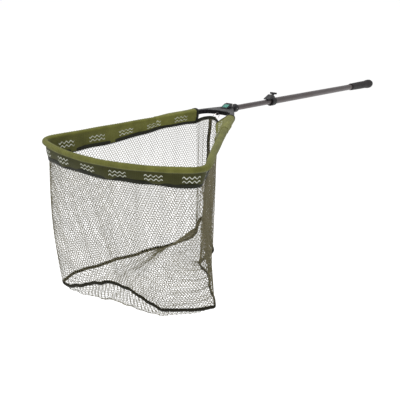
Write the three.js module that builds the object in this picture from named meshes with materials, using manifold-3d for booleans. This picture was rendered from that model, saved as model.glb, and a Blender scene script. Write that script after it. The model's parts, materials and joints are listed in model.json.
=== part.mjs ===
// Folding landing net: a telescopic handle, a hub that folds over, and a deep bag on a triangular rim.
// Millimetres, +Z up, rim level. The origin is the centre of the flat butt face, and +X runs to the head.
import * as THREE from 'three';
import { mergeVertices } from 'three/addons/utils/BufferGeometryUtils.js';
import Module from 'manifold-3d';

const wasm = await Module();
wasm.setup();

// Overall layout
const HANDLE_LENGTH = 1150; // butt face to the hub, along the handle
const HANDLE_DROOP = THREE.MathUtils.degToRad(6.75); // the handle falls this much below the rim's plane
const RIM_RISE = 1.65; // rim plane above the handle's axis at the hub
const GAP = 0.3; // clearance between fixed pieces
const SLIDE_GAP = 0.45; // clearance round what slides

// Handle
const INNER_TUBE_R = 8;
const INNER_TUBE_WALL = 1.2;
const TUBE_ROOM = 0.9; // between the tubes, which the plug and clamp take up
const OUTER_TUBE_WALL = 1.1;
const OUTER_TUBE_R = INNER_TUBE_R + TUBE_ROOM + OUTER_TUBE_WALL;
const INNER_TUBE_LENGTH = 840;
const GRIP_LENGTH = 203;
const GRIP_FRONT_R = OUTER_TUBE_R + 2.8;
const GRIP_WAIST_R = OUTER_TUBE_R + 4;
const GRIP_BULGE_R = OUTER_TUBE_R + 6.3;
const CAP_FACE_R = GRIP_BULGE_R - 7.3;
const CAP_FLANGE = 7; // length of the cap behind the tube and grip
const CAP_SPIGOT = 22;
const PLUG_FLANGE = 8;
const PLUG_SPIGOT = 18;

// Tube clamp
const CLAMP_REAR = 865;
const CLAMP_LENGTH = 27;
const CLAMP_R = OUTER_TUBE_R + 3.4;
const CLAMP_SEAT = 7.5; // how far the outer tube reaches into the clamp
const WEDGE_WIDTH = 17;
const WEDGE_TOP = OUTER_TUBE_R + 12;
const WEDGE_NOSE = 26; // how far the wedge reaches out past the clamp's ring
const WEDGE_NOSE_TOP = INNER_TUBE_R + 2.6;
const LEVER_PIVOT_X = CLAMP_REAR + 14;
const LEVER_PIVOT_Z = OUTER_TUBE_R + 4.6;
const LEVER_REACH = 14; // pin to the finger bar
const LEVER_LEAN = THREE.MathUtils.degToRad(45);
const LEVER_WIDTH = 8.2;
const LEVER_THICKNESS = 3.6;
const LEVER_CAM_R = 4.2;
const LEVER_BAR_WIDTH = 22;
const LEVER_BAR_THICKNESS = 3;
const LEVER_BAR_DEPTH = 5;
const LEVER_PIN_R = 1.5;
const SHOE_LENGTH = 7;
const SHOE_WIDTH = 6.4;

// Joint socket, which holds the inner tube and carries the hinge tongue
const SOCKET_R = INNER_TUBE_R + 4;
const SOCKET_FRONT = 16; // hub to the collar's front face
const SOCKET_LENGTH = 22;
const SOCKET_BORE_DEPTH = 19;
const NECK_HALF_WIDTH = 9;
const NECK_TOP = 5.4;
const NECK_BOTTOM = -8;
const SOCKET_PIN_R = 1.8;

// Fold hinge
const HINGE_X = -2;
const HINGE_Z = 11.5;
const KNUCKLE_R = 3.4;
const HINGE_PIN_R = 1.6;
const TONGUE_HALF_WIDTH = 5;
const EAR_THICKNESS = 4.2;

// Yoke
const YOKE_REAR = 4;
const YOKE_REAR_HALF_WIDTH = 12.5;
const YOKE_FRONT = 55.5;
const YOKE_HALF_HEIGHT = 6;
const YOKE_ARM_WIDTH = 14;
const YOKE_TIP_WIDTH = 12;
const YOKE_ARM_LENGTH = 110; // straight part of each arm
const RIM_ENGAGEMENT = 50;
const RIM_PIN_R = 1.5;

// Button housing, on the yoke
const HOUSING_FRONT = 29;
const HOUSING_HALF_WIDTH = 11;
const HOUSING_REAR_TOP = 14.7;
const HOUSING_FRONT_TOP = 7.8;
const HOUSING_WALL = 1.8;
const CAVITY_REAR = 7;
const CAVITY_FRONT = 27.5;
const CAVITY_HALF_WIDTH = 9;
const BUTTON_REAR = 9.5;
const BUTTON_FRONT = 25.5;
const BUTTON_HALF_WIDTH = 7.6;
const BUTTON_PROUD = 0.7;
const BUTTON_BASE = 3.5;
const BUTTON_FOOT_REAR = 2.2;
const BUTTON_FOOT_BOTTOM = 5.2;
const BUTTON_FOOT_TOP = 7.5;
const SPRING_R = 3;
const SPRING_WIRE_R = 0.4;
const SPRING_TURNS = 3.5;
const COVER_THICKNESS = 2.4;
const COVER_FRONT = 46;
const COVER_HALF_WIDTH = 10.5;
const SCREW_PLACES = [[32.5, 6], [32.5, -6], [41, 0]];
const SCREW_HEAD_R = 2.3;
const SCREW_HEAD_HEIGHT = 1.2;
const SCREW_R = 1.2;
const SCREW_LENGTH = 8;

// Ring that ties the bag to the yoke
const LUG_LENGTH = 13.5;
const LUG_HALF_WIDTH = 2.5;
const LUG_HOLE_R = 2.2;
const RING_R = 9;
const RING_WIRE_R = 1;
const RING_HANG = THREE.MathUtils.degToRad(30);

// Rim
const RIM_LENGTH = 598; // hub to the middle of the front
const RIM_FRONT_R = 411;
const RIM_CORNER_R = 37;
const RIM_HALF_WIDTH = 229;
const RIM_ARM_START = new THREE.Vector2(104, 65); // where the yoke's arm turns straight
const RIM_ROD_R = 4;
const SLEEVE_ROOM = 1.6; // between the rod and the sleeve
const SLEEVE_WALL = 2.4;
const SLEEVE_BORE_R = RIM_ROD_R + SLEEVE_ROOM;
const SLEEVE_R = SLEEVE_BORE_R + SLEEVE_WALL;
const RIM_STEPS = 84;
const BAND_DROP = 40; // rim plane to the band's lower edge
const BAND_THICKNESS = 2;
const SLEEVE_END_WALL = 1.5;
const SLEEVE_END_SIDE_ROOM = 2; // between the yoke's arm and the wider end, at each side
const SLEEVE_END_TOP_ROOM = 1; // and above and below it
const SLEEVE_END_BACK = 20; // how far the sleeve reaches back past the arm's straight part

// Bag
const BAG_GAP = 2; // band's lower edge to the netting
const BAG_THICKNESS = 2;
const BAG_BACK = 88; // back edge of the mouth, from the hub
const BAG_BACK_RISE = 29; // how far the back edge rises to the ring
const FLOOR_LENGTH = 525; // hub to the middle of the floor's front edge
const FLOOR_HALF_WIDTH = 209;
const FLOOR_FRONT_R = 900;
const FLOOR_CORNER_R = 28;
const FLOOR_ARM_START = new THREE.Vector2(140, 22);
const FLOOR_BACK_Z = -277;
const FLOOR_FRONT_Z = -402;
const TAPE_WIDTH = 9;
const TAPE_THICKNESS = 1.8;
const TAPE_GAP = 0.5;
const BINDING_HEIGHT = 7;
const BINDING_FRONT = 2.4; // reach of the binding over the netting's edge
const BINDING_BACK = 0.6;
const FLOOR_TAPE_SHARE = 0.03; // height of the floor tape as a share of the wall's

const group = new THREE.Group();
const handle = new THREE.Group();
handle.rotation.y = -HANDLE_DROOP;
const head = new THREE.Group();
head.position.set(
  HANDLE_LENGTH * Math.cos(HANDLE_DROOP),
  0,
  HANDLE_LENGTH * Math.sin(HANDLE_DROOP) + RIM_RISE,
);
group.add(handle, head);

const material = (color, roughness, metalness) => (
  new THREE.MeshStandardMaterial({ color, roughness, metalness })
);
const gunmetal = material('#4b4645', 0.42, 0.6);
const steel = material('#c9c6c0', 0.3, 0.9);
const blackPlastic = material('#222024', 0.5, 0);
const blackRubber = material('#1c1a1b', 0.8, 0);
const tealPlastic = material('#4f9184', 0.45, 0);
const whiteNylon = material('#d8d4c8', 0.6, 0);
const aluminium = material('#b8babd', 0.35, 0.8);
const oliveFabric = material('#6f7443', 0.85, 0);
const oliveTape = material('#38352a', 0.9, 0);
const netting = material('#a5a08c', 0.8, 0);

// Merges shared corners, drops the slivers on a lathe's axis, and turns the faces outward.
function closed(geometry) {
  const bare = geometry.clone();
  bare.deleteAttribute('normal');
  bare.deleteAttribute('uv');
  const merged = mergeVertices(bare, 1e-4);
  const position = merged.attributes.position;
  const corners = [];
  let volume = 0;
  const [a, b, c] = [new THREE.Vector3(), new THREE.Vector3(), new THREE.Vector3()];
  for (let i = 0; i < merged.index.count; i += 3) {
    const [p, q, r] = [0, 1, 2].map((k) => merged.index.getX(i + k));
    if (p === q || q === r || r === p) continue;
    corners.push([p, q, r]);
    a.fromBufferAttribute(position, p);
    b.fromBufferAttribute(position, q);
    c.fromBufferAttribute(position, r);
    volume += a.dot(b.cross(c));
  }
  merged.setIndex(corners.flatMap(([p, q, r]) => (volume > 0 ? [p, q, r] : [p, r, q])));
  return merged;
}

function toManifold(geometry) {
  const tidy = closed(geometry);
  return new wasm.Manifold(new wasm.Mesh({
    numProp: 3,
    vertProperties: new Float32Array(tidy.attributes.position.array),
    triVerts: new Uint32Array(tidy.index.array),
  }));
}

function toGeometry(solid) {
  const mesh = solid.getMesh();
  const geometry = new THREE.BufferGeometry();
  geometry.setAttribute('position', new THREE.BufferAttribute(new Float32Array(mesh.vertProperties), 3));
  geometry.setIndex(new THREE.BufferAttribute(new Uint32Array(mesh.triVerts), 1));
  return geometry;
}

// Joins the first list of geometries and cuts the second from them.
function carve(joined, cuts = []) {
  const body = joined.map(toManifold).reduce((sum, part) => sum.add(part));
  return toGeometry(cuts.map(toManifold).reduce((rest, part) => rest.subtract(part), body));
}

function addPiece(parent, name, geometry, look) {
  const mesh = new THREE.Mesh(closed(geometry), look);
  mesh.name = name;
  parent.add(mesh);
  return mesh;
}

function block(x0, x1, y0, y1, z0, z1) {
  const box = new THREE.BoxGeometry(x1 - x0, y1 - y0, z1 - z0);
  return box.translate((x0 + x1) / 2, (y0 + y1) / 2, (z0 + z1) / 2);
}

// A turned solid along +X. Each profile point is [distance along X, radius].
function turned(profile, sides = 32) {
  const points = profile.map(([along, radius]) => new THREE.Vector2(radius, along));
  return new THREE.LatheGeometry(points, sides).rotateZ(-Math.PI / 2);
}

function tube(x0, x1, outer, inner, sides = 32) {
  return turned([[x0, inner], [x1, inner], [x1, outer], [x0, outer], [x0, inner]], sides);
}

function cylinder(x0, x1, radius, sides = 32) {
  return turned([[x0, 0], [x0, radius], [x1, radius], [x1, 0]], sides);
}

// A round pin along Y, centred on y = 0.
function crossPin(x, z, radius, length, sides = 20) {
  return cylinder(-length / 2, length / 2, radius, sides).rotateZ(Math.PI / 2).translate(x, 0, z);
}

// A round pin along Z.
function uprightPin(x, y, z0, z1, radius, sides = 16) {
  return cylinder(z0, z1, radius, sides).rotateY(-Math.PI / 2).translate(x, y, 0);
}

// A side outline in X and Z, given thickness along Y.
function slab(outline, y0, y1) {
  const shape = new THREE.Shape(outline.map(([x, z]) => new THREE.Vector2(x, z)));
  const plate = new THREE.ExtrudeGeometry(shape, { depth: y1 - y0, bevelEnabled: false });
  return plate.rotateX(Math.PI / 2).translate(0, y1, 0);
}

function arcPoints(cx, cy, radius, from, to, steps) {
  return Array.from({ length: steps + 1 }, (_, i) => {
    const angle = from + ((to - from) * i) / steps;
    return [cx + radius * Math.cos(angle), cy + radius * Math.sin(angle)];
  });
}

// Handle: outer tube, grip and cap. Distances here run from the butt face along the handle.
const tubeStart = CAP_FLANGE + GAP;
const tubeMouth = CLAMP_REAR + CLAMP_SEAT;
const outerBore = OUTER_TUBE_R - OUTER_TUBE_WALL;
addPiece(handle, 'outer_tube', tube(tubeStart, tubeMouth, OUTER_TUBE_R, outerBore, 40), gunmetal);

const gripBore = OUTER_TUBE_R + GAP;
const gripStart = tubeStart;
const gripEnd = gripStart + GRIP_LENGTH;
const gripSurface = new THREE.SplineCurve([
  [gripStart, GRIP_BULGE_R - 2.2],
  [gripStart + 7, GRIP_BULGE_R - 0.4],
  [gripStart + 24, GRIP_BULGE_R],
  [gripStart + 58, GRIP_WAIST_R],
  [gripStart + GRIP_LENGTH / 2, GRIP_WAIST_R],
  [gripEnd - 8, GRIP_FRONT_R],
  [gripEnd, GRIP_FRONT_R - 0.8],
].map(([along, radius]) => new THREE.Vector2(along, radius)));
const gripOutside = gripSurface.getPoints(14).map((p) => [p.x, p.y]);
addPiece(handle, 'butt_grip', turned([
  [gripStart, gripBore],
  [gripEnd, gripBore],
  ...gripOutside.reverse(),
  [gripStart, gripBore],
], 28), blackRubber);

const capRim = GRIP_BULGE_R - 2.6;
addPiece(handle, 'butt_cap', turned([
  [0, 0],
  [0, CAP_FACE_R],
  [0.8, CAP_FACE_R + 2.4],
  [3, capRim - 0.6],
  [CAP_FLANGE, capRim],
  [CAP_FLANGE, outerBore - GAP],
  [CAP_FLANGE + CAP_SPIGOT, outerBore - GAP - 0.4],
  [CAP_FLANGE + CAP_SPIGOT, 0],
], 36), blackRubber);

// Tube clamp: a stepped bore, cheeks for the lever's pin, and a wedge that reaches out over the inner tube.
const clampFront = CLAMP_REAR + CLAMP_LENGTH;
const camFloor = LEVER_PIVOT_Z - LEVER_CAM_R - GAP;
const slotHalf = LEVER_WIDTH / 2 + GAP;
const slideBore = INNER_TUBE_R + SLIDE_GAP;
const cheekShape = [
  [LEVER_PIVOT_X - 5, INNER_TUBE_R],
  [LEVER_PIVOT_X - 5, LEVER_PIVOT_Z],
  [LEVER_PIVOT_X - 2.5, LEVER_PIVOT_Z + 3],
  [LEVER_PIVOT_X + 2, LEVER_PIVOT_Z + 3.4],
  [LEVER_PIVOT_X + 8, WEDGE_TOP],
  [clampFront + WEDGE_NOSE, WEDGE_NOSE_TOP],
  [clampFront + WEDGE_NOSE, slideBore + 0.2],
  [clampFront - 1, slideBore + 0.2],
  [clampFront - 1, INNER_TUBE_R],
];
const leverSlot = [
  [CLAMP_REAR - 1, OUTER_TUBE_R + 2],
  [LEVER_PIVOT_X - LEVER_CAM_R - GAP, OUTER_TUBE_R + 2],
  [LEVER_PIVOT_X - LEVER_CAM_R - GAP, camFloor - GAP],
  [LEVER_PIVOT_X + LEVER_CAM_R + GAP, camFloor - GAP],
  [LEVER_PIVOT_X + LEVER_CAM_R + GAP, LEVER_PIVOT_Z + 2],
  [LEVER_PIVOT_X + 2, WEDGE_TOP + 4],
  [CLAMP_REAR - 1, WEDGE_TOP + 4],
];
const shoeHalf = [SHOE_LENGTH / 2, SHOE_WIDTH / 2];
addPiece(handle, 'clamp_body', carve([
  turned([
    [CLAMP_REAR, 0],
    [CLAMP_REAR, CLAMP_R - 1],
    [CLAMP_REAR + 1.2, CLAMP_R],
    [clampFront - 3, CLAMP_R],
    [clampFront, CLAMP_R - 1.6],
    [clampFront, 0],
  ], 40),
  slab(cheekShape, -WEDGE_WIDTH / 2, WEDGE_WIDTH / 2),
], [
  cylinder(CLAMP_REAR - 1, tubeMouth + GAP, OUTER_TUBE_R + GAP, 40),
  cylinder(tubeMouth, clampFront + WEDGE_NOSE + 1, slideBore, 40),
  slab(leverSlot, -slotHalf, slotHalf),
  block(
    LEVER_PIVOT_X - shoeHalf[0] - GAP,
    LEVER_PIVOT_X + shoeHalf[0] + GAP,
    -shoeHalf[1] - GAP,
    shoeHalf[1] + GAP,
    0,
    camFloor,
  ),
  crossPin(LEVER_PIVOT_X, LEVER_PIVOT_Z, LEVER_PIN_R + GAP, WEDGE_WIDTH + 2),
]), blackPlastic);

addPiece(handle, 'clamp_pin', crossPin(LEVER_PIVOT_X, LEVER_PIVOT_Z, LEVER_PIN_R, WEDGE_WIDTH - 0.4), steel);

addPiece(handle, 'brake_shoe', carve([
  block(
    LEVER_PIVOT_X - shoeHalf[0],
    LEVER_PIVOT_X + shoeHalf[0],
    -shoeHalf[1],
    shoeHalf[1],
    INNER_TUBE_R - 2,
    camFloor,
  ),
], [
  cylinder(CLAMP_REAR, clampFront, slideBore, 40),
]), whiteNylon);

// Lever: a cam on the pin, a short stem that leans back, and a finger bar across its end.
const leverStem = slab([
  ...arcPoints(0, 0, LEVER_CAM_R, -Math.PI / 2, 0, 6),
  ...arcPoints(0, 0, LEVER_CAM_R, 0, Math.PI / 2, 6).slice(1),
  [-LEVER_CAM_R, LEVER_THICKNESS / 2],
  [-LEVER_REACH, LEVER_THICKNESS / 2],
  [-LEVER_REACH, -LEVER_THICKNESS / 2],
  [-LEVER_CAM_R, -LEVER_THICKNESS / 2],
], -LEVER_WIDTH / 2, LEVER_WIDTH / 2);
const barRear = -LEVER_REACH - LEVER_BAR_DEPTH / 2;
const fingerBar = slab([
  [barRear, -LEVER_BAR_THICKNESS / 2],
  [barRear + LEVER_BAR_DEPTH, -LEVER_BAR_THICKNESS / 2],
  [barRear + LEVER_BAR_DEPTH, LEVER_BAR_THICKNESS / 2],
  [barRear + 1, LEVER_BAR_THICKNESS / 2 + 0.6],
  [barRear, LEVER_BAR_THICKNESS / 2],
], -LEVER_BAR_WIDTH / 2, LEVER_BAR_WIDTH / 2);
const leverShape = carve([leverStem, fingerBar], [crossPin(0, 0, LEVER_PIN_R + GAP, LEVER_WIDTH + 2)]);
leverShape.rotateY(LEVER_LEAN).translate(LEVER_PIVOT_X, 0, LEVER_PIVOT_Z);
addPiece(handle, 'clamp_lever', leverShape, blackPlastic);

// Inner section: tube, rear plug and joint socket. The socket's shape is given from the hub.
const socketRear = SOCKET_FRONT + SOCKET_LENGTH;
const boreEnd = socketRear - SOCKET_BORE_DEPTH;
const innerTubeEnd = HANDLE_LENGTH - boreEnd - GAP;
const innerTubeStart = innerTubeEnd - INNER_TUBE_LENGTH;
const innerBore = INNER_TUBE_R - INNER_TUBE_WALL;
const socketPinX = HANDLE_LENGTH - (boreEnd + socketRear) / 2;
addPiece(handle, 'inner_tube', carve([
  tube(innerTubeStart, innerTubeEnd, INNER_TUBE_R, innerBore, 32),
], [
  crossPin(socketPinX, 0, SOCKET_PIN_R + GAP, 2 * INNER_TUBE_R + 4),
]), gunmetal);

addPiece(handle, 'inner_tube_plug', turned([
  [innerTubeStart - GAP - PLUG_FLANGE, 0],
  [innerTubeStart - GAP - PLUG_FLANGE, outerBore - SLIDE_GAP],
  [innerTubeStart - GAP, outerBore - SLIDE_GAP],
  [innerTubeStart - GAP, innerBore - GAP],
  [innerTubeStart + PLUG_SPIGOT, innerBore - GAP],
  [innerTubeStart + PLUG_SPIGOT, 0],
], 28), whiteNylon);

addPiece(handle, 'socket_pin', crossPin(socketPinX, 0, SOCKET_PIN_R, 2 * SOCKET_R - 1), steel);

// Takes a shape drawn along the handle, with x = 0 at the hub, into the head's level axes.
const alongHandle = (geometry) => geometry.rotateY(-HANDLE_DROOP).translate(0, 0, -RIM_RISE);
const tongue = slab([
  ...arcPoints(HINGE_X, HINGE_Z, KNUCKLE_R, 0, Math.PI, 12),
  [HINGE_X - KNUCKLE_R, NECK_TOP - 2],
  [HINGE_X + KNUCKLE_R, NECK_TOP - 2],
], -TONGUE_HALF_WIDTH, TONGUE_HALF_WIDTH);
addPiece(head, 'joint_socket', carve([
  alongHandle(turned([
    [-socketRear, 0],
    [-socketRear, SOCKET_R - 1],
    [-socketRear + 1, SOCKET_R],
    [-SOCKET_FRONT - 3, SOCKET_R],
    [-SOCKET_FRONT, SOCKET_R - 2],
    [-SOCKET_FRONT, 0],
  ], 40)),
  block(-SOCKET_FRONT - 2, YOKE_REAR - 0.7, -NECK_HALF_WIDTH, NECK_HALF_WIDTH, NECK_BOTTOM, NECK_TOP),
  tongue,
], [
  alongHandle(cylinder(-socketRear - 1, -boreEnd, INNER_TUBE_R + GAP, 32)),
  alongHandle(crossPin(socketPinX - HANDLE_LENGTH, 0, SOCKET_PIN_R + GAP, 2 * SOCKET_R + 4)),
  crossPin(HINGE_X, HINGE_Z, HINGE_PIN_R + GAP, 4 * TONGUE_HALF_WIDTH),
  block(0.8, YOKE_REAR, -4.3, 4.3, 1.3, NECK_TOP + 1),
]), blackPlastic);

// An outline in plan with straight arms, round corners and a bowed front, mirrored in Y.
// Distances along it run from the start of the +Y arm, and the arms may be passed at both ends.
function bowedOutline({ length, halfWidth, frontR, cornerR, start }) {
  const centreX = length - frontR;
  const cornerY = halfWidth - cornerR;
  const cornerX = centreX + Math.sqrt((frontR - cornerR) ** 2 - cornerY ** 2);
  const toCorner = new THREE.Vector2(cornerX, cornerY).sub(start);
  const armAngle = toCorner.angle() + Math.asin(cornerR / toCorner.length());
  const direction = new THREE.Vector2(Math.cos(armAngle), Math.sin(armAngle));
  const frontAngle = Math.atan2(cornerY, cornerX - centreX);
  const arm = Math.sqrt(toCorner.lengthSq() - cornerR ** 2);
  const corner = cornerR * (armAngle + Math.PI / 2 - frontAngle);
  const half = arm + corner + frontR * frontAngle;
  const pointAt = (distance) => {
    const run = Math.min(distance, 2 * half - distance);
    const side = distance > half ? -1 : 1;
    if (run < arm) {
      const p = start.clone().addScaledVector(direction, run);
      return new THREE.Vector3(p.x, side * p.y, 0);
    }
    const onCorner = run < arm + corner;
    const radius = onCorner ? cornerR : frontR;
    const angle = onCorner ? armAngle + Math.PI / 2 - (run - arm) / cornerR : (half - run) / frontR;
    const x = (onCorner ? cornerX : centreX) + radius * Math.cos(angle);
    const y = (onCorner ? cornerY : 0) + radius * Math.sin(angle);
    return new THREE.Vector3(x, side * y, 0);
  };
  return { pointAt, direction, total: 2 * half, stages: [arm, arm + corner, half] };
}
const rim = bowedOutline({
  length: RIM_LENGTH,
  halfWidth: RIM_HALF_WIDTH,
  frontR: RIM_FRONT_R,
  cornerR: RIM_CORNER_R,
  start: RIM_ARM_START,
});

class RimLine extends THREE.Curve {
  constructor(from, to) {
    super();
    this.from = from;
    this.to = to;
  }

  getPoint(t, target = new THREE.Vector3()) {
    return target.copy(rim.pointAt(this.from + (this.to - this.from) * t));
  }
}

// A cross-section in [outward, up] swept along the rim line.
function alongRim(section, hole, from, to, steps) {
  const toPath = ([outward, up]) => new THREE.Vector2(-up, outward);
  const shape = new THREE.Shape(section.map(toPath));
  if (hole) shape.holes.push(new THREE.Path(hole.map(toPath)));
  const extrudePath = new RimLine(from, to);
  return new THREE.ExtrudeGeometry(shape, { steps, bevelEnabled: false, extrudePath });
}

const circlePoints = (radius, sides) => arcPoints(0, 0, radius, 0, 2 * Math.PI, sides).slice(0, -1);

// Yoke: a wishbone plate with a button housing, hinge ears, rod sockets and a lug for the ring.
const inPlan = (x, y) => new THREE.Vector2(x, y);
const armSide = (distance, offset) => {
  const p = rim.pointAt(distance);
  return inPlan(p.x - offset * rim.direction.y, p.y + offset * rim.direction.x);
};
const outerStart = armSide(0, YOKE_ARM_WIDTH / 2);
const innerStart = armSide(0, -YOKE_ARM_WIDTH / 2);
const outerEdge = new THREE.CubicBezierCurve(
  inPlan(YOKE_REAR, YOKE_REAR_HALF_WIDTH),
  inPlan(28, 32),
  outerStart.clone().addScaledVector(rim.direction, -44),
  outerStart,
).getPoints(12);
const innerEdge = new THREE.CubicBezierCurve(
  innerStart,
  innerStart.clone().addScaledVector(rim.direction, -30),
  inPlan(YOKE_FRONT + 6, 44),
  inPlan(YOKE_FRONT + 1.5, 22),
).getPoints(10);
const halfYoke = [
  ...outerEdge,
  armSide(YOKE_ARM_LENGTH - 3, YOKE_TIP_WIDTH / 2),
  armSide(YOKE_ARM_LENGTH, YOKE_TIP_WIDTH / 2 - 2),
  armSide(YOKE_ARM_LENGTH, -YOKE_TIP_WIDTH / 2 + 2),
  armSide(YOKE_ARM_LENGTH - 3, -YOKE_TIP_WIDTH / 2),
  ...innerEdge,
  inPlan(YOKE_FRONT, 10),
];
const yokePlan = new THREE.Shape([
  ...halfYoke,
  ...halfYoke.map((p) => inPlan(p.x, -p.y)).reverse(),
]);
const yokeBevel = 1.2;
const yokePlate = new THREE.ExtrudeGeometry(yokePlan, {
  depth: 2 * (YOKE_HALF_HEIGHT - yokeBevel),
  bevelThickness: yokeBevel,
  bevelSize: yokeBevel,
  bevelOffset: -yokeBevel,
  bevelSegments: 1,
}).translate(0, 0, yokeBevel - YOKE_HALF_HEIGHT);

const housingSlope = (HOUSING_REAR_TOP - HOUSING_FRONT_TOP) / (HOUSING_FRONT - YOKE_REAR);
const housingTop = (x) => HOUSING_REAR_TOP - (x - YOKE_REAR) * housingSlope;
const housingShape = [
  [YOKE_REAR, 0],
  [YOKE_REAR, HOUSING_REAR_TOP],
  [HOUSING_FRONT, HOUSING_FRONT_TOP],
  [HOUSING_FRONT + 2, YOKE_HALF_HEIGHT - 1],
  [HOUSING_FRONT + 2, 0],
];
const coverRear = CAVITY_REAR - 1.2;
const coverPocketDepth = COVER_THICKNESS + GAP;
const coverTop = -YOKE_HALF_HEIGHT + COVER_THICKNESS;
const cavityShape = [
  [CAVITY_REAR, -YOKE_HALF_HEIGHT + coverPocketDepth - 1],
  [CAVITY_REAR, housingTop(CAVITY_REAR) - HOUSING_WALL],
  [CAVITY_FRONT, housingTop(CAVITY_FRONT) - HOUSING_WALL],
  [CAVITY_FRONT, -YOKE_HALF_HEIGHT + coverPocketDepth - 1],
];
const earShape = [
  ...arcPoints(HINGE_X, HINGE_Z, KNUCKLE_R, Math.PI / 2, 1.5 * Math.PI, 10),
  [YOKE_REAR + 1, HINGE_Z - KNUCKLE_R],
  [YOKE_REAR + 1, HINGE_Z + KNUCKLE_R - 0.4],
];
const earInside = TONGUE_HALF_WIDTH + 0.4;
const ears = [-1, 1].map((side) => {
  const [near, far] = [side * earInside, side * (earInside + EAR_THICKNESS)];
  return slab(earShape, Math.min(near, far), Math.max(near, far));
});
const lugEnd = YOKE_FRONT + LUG_LENGTH;
const lugHoleX = lugEnd - LUG_HOLE_R - 2;
const rodStart = YOKE_ARM_LENGTH - RIM_ENGAGEMENT;
const rimPinAt = YOKE_ARM_LENGTH - RIM_ENGAGEMENT / 2;
const rodSockets = [
  alongRim(circlePoints(RIM_ROD_R + GAP, 24), null, rodStart - 0.5, YOKE_ARM_LENGTH + 1, 2),
  alongRim(
    circlePoints(RIM_ROD_R + GAP, 24),
    null,
    rim.total - YOKE_ARM_LENGTH - 1,
    rim.total - rodStart + 0.5,
    2,
  ),
];
const pinPlaces = [rim.pointAt(rimPinAt), rim.pointAt(rim.total - rimPinAt)];
const rimPinHoles = pinPlaces.map((p) => (
  uprightPin(p.x, p.y, -YOKE_HALF_HEIGHT - 1, YOKE_HALF_HEIGHT + 1, RIM_PIN_R + GAP)
));
// Shallow pockets along the inner side of each arm, between the plate and the sleeve.
const sidePockets = [[3, 1], [3, -1], [5, 1], [5, -1], [7, 1], [7, -1]].map(([place, side]) => {
  const [p, q] = [innerEdge[place], innerEdge[place + 1]];
  const pocket = new THREE.BoxGeometry(p.distanceTo(q) - 2, 5, 2 * YOKE_HALF_HEIGHT - 5);
  pocket.rotateZ(Math.atan2(q.y - p.y, q.x - p.x));
  pocket.translate((p.x + q.x) / 2, (p.y + q.y) / 2, 0);
  return side > 0 ? pocket : closed(pocket.scale(1, -1, 1));
});
addPiece(head, 'yoke', carve([
  yokePlate,
  slab(housingShape, -HOUSING_HALF_WIDTH, HOUSING_HALF_WIDTH),
  ...ears,
  block(YOKE_FRONT - 2, lugEnd, -LUG_HALF_WIDTH, LUG_HALF_WIDTH, -4.6, 1.6),
], [
  slab(cavityShape, -CAVITY_HALF_WIDTH, CAVITY_HALF_WIDTH),
  block(
    BUTTON_REAR - GAP,
    BUTTON_FRONT + GAP,
    -BUTTON_HALF_WIDTH - GAP,
    BUTTON_HALF_WIDTH + GAP,
    0,
    HOUSING_REAR_TOP + 1,
  ),
  block(YOKE_REAR - 1, CAVITY_REAR + 1, -3.8, 3.8, 1.8, 8.2),
  block(
    coverRear,
    COVER_FRONT + GAP,
    -COVER_HALF_WIDTH - GAP,
    COVER_HALF_WIDTH + GAP,
    -YOKE_HALF_HEIGHT - 1,
    -YOKE_HALF_HEIGHT + coverPocketDepth,
  ),
  crossPin(HINGE_X, HINGE_Z, HINGE_PIN_R + GAP, 40),
  crossPin(lugHoleX, -1.5, LUG_HOLE_R, 20),
  ...SCREW_PLACES.map(([x, y]) => (
    uprightPin(x, y, coverTop - 1, -YOKE_HALF_HEIGHT + SCREW_LENGTH + 2, SCREW_R + GAP)
  )),
  ...rodSockets,
  ...rimPinHoles,
  ...sidePockets,
]), blackPlastic);

const pinHalf = earInside + EAR_THICKNESS;
addPiece(head, 'hinge_pin', turned([
  [-pinHalf - 1.2, 0],
  [-pinHalf - 1.2, HINGE_PIN_R + 0.5],
  [-pinHalf - GAP, HINGE_PIN_R + 0.9],
  [-pinHalf - GAP, HINGE_PIN_R],
  [pinHalf + GAP, HINGE_PIN_R],
  [pinHalf + GAP, HINGE_PIN_R + 0.9],
  [pinHalf + 1.2, HINGE_PIN_R + 0.5],
  [pinHalf + 1.2, 0],
], 20).rotateZ(Math.PI / 2).translate(HINGE_X, 0, HINGE_Z), steel);

// Button: a face that follows the housing's slope, a base wider than the hole, and a rear locking foot.
const buttonFace = (x) => housingTop(x) + BUTTON_PROUD;
const buttonBaseTop = housingTop(CAVITY_FRONT) - HOUSING_WALL - GAP;
addPiece(head, 'release_button', carve([
  slab([
    [BUTTON_REAR, BUTTON_BASE],
    [BUTTON_REAR, buttonFace(BUTTON_REAR) - 0.5],
    [BUTTON_REAR + 0.6, buttonFace(BUTTON_REAR + 0.6)],
    [BUTTON_FRONT - 0.6, buttonFace(BUTTON_FRONT - 0.6)],
    [BUTTON_FRONT, buttonFace(BUTTON_FRONT) - 0.5],
    [BUTTON_FRONT, BUTTON_BASE],
  ], -BUTTON_HALF_WIDTH, BUTTON_HALF_WIDTH),
  block(
    CAVITY_REAR + 0.6,
    CAVITY_FRONT - 0.6,
    -CAVITY_HALF_WIDTH + 0.4,
    CAVITY_HALF_WIDTH - 0.4,
    BUTTON_BASE,
    buttonBaseTop,
  ),
  block(BUTTON_FOOT_REAR, BUTTON_REAR + 1, -3.4, 3.4, BUTTON_FOOT_BOTTOM, BUTTON_FOOT_TOP),
  uprightPin((CAVITY_REAR + CAVITY_FRONT) / 2, 0, BUTTON_BASE - 3.4, BUTTON_BASE + 1, SPRING_R - 1.2),
]), tealPlastic);

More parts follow.
